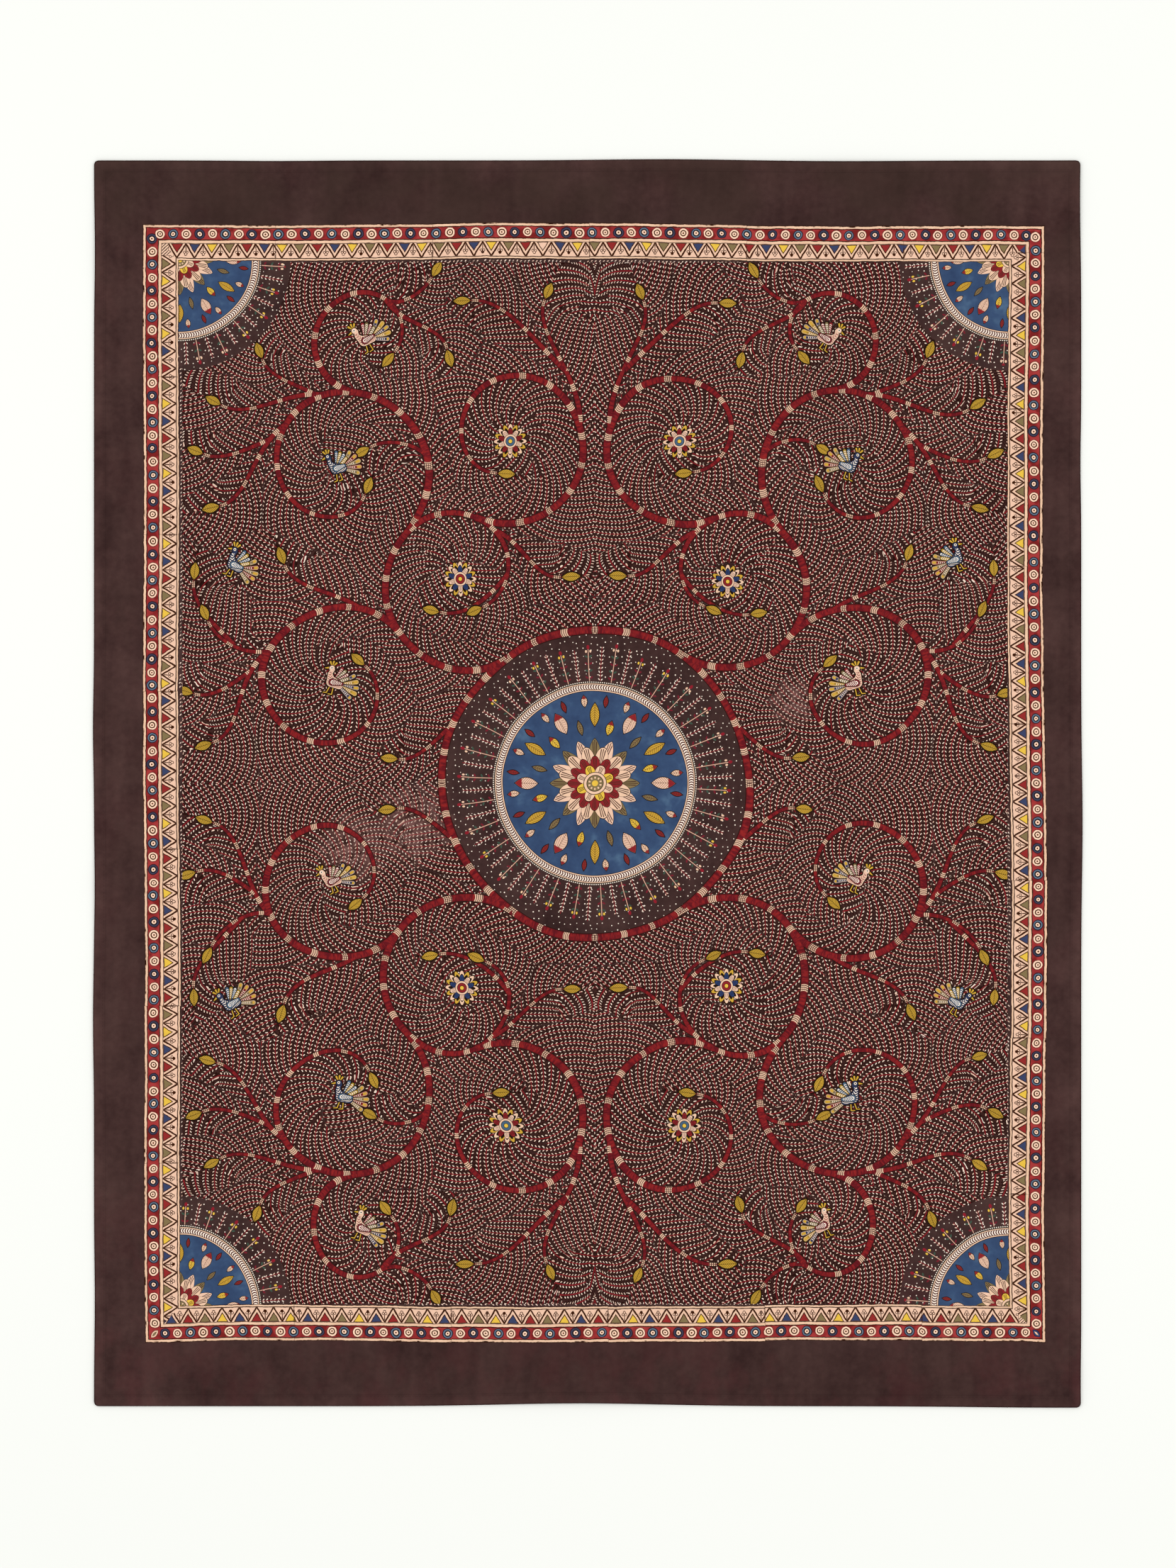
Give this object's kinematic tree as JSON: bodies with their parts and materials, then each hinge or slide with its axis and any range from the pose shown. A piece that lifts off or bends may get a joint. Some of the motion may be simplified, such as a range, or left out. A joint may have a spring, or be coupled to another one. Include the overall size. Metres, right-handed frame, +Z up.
{
  "type": "mata ni pachedi",
  "caption": "Painted and dyed cotton cloth lying flat, with a turned hem, softly wavy edges and rounded corners.",
  "frame": {"origin": "on the surface the cloth lies on, under the middle of its bounding box", "axes": "+X across the cloth to the right, +Y along the cloth towards the upper edge of its picture, +Z up out of the painted face"},
  "size_m": [1.4534, 1.834, 0.0051],
  "materials": {
    "dyed_cotton": "matt plain-weave cotton, hand painted and block printed on a dark brown ground"
  },
  "bodies": {
    "root": {"cloth": "dyed_cotton"}
  },
  "joints": []
}
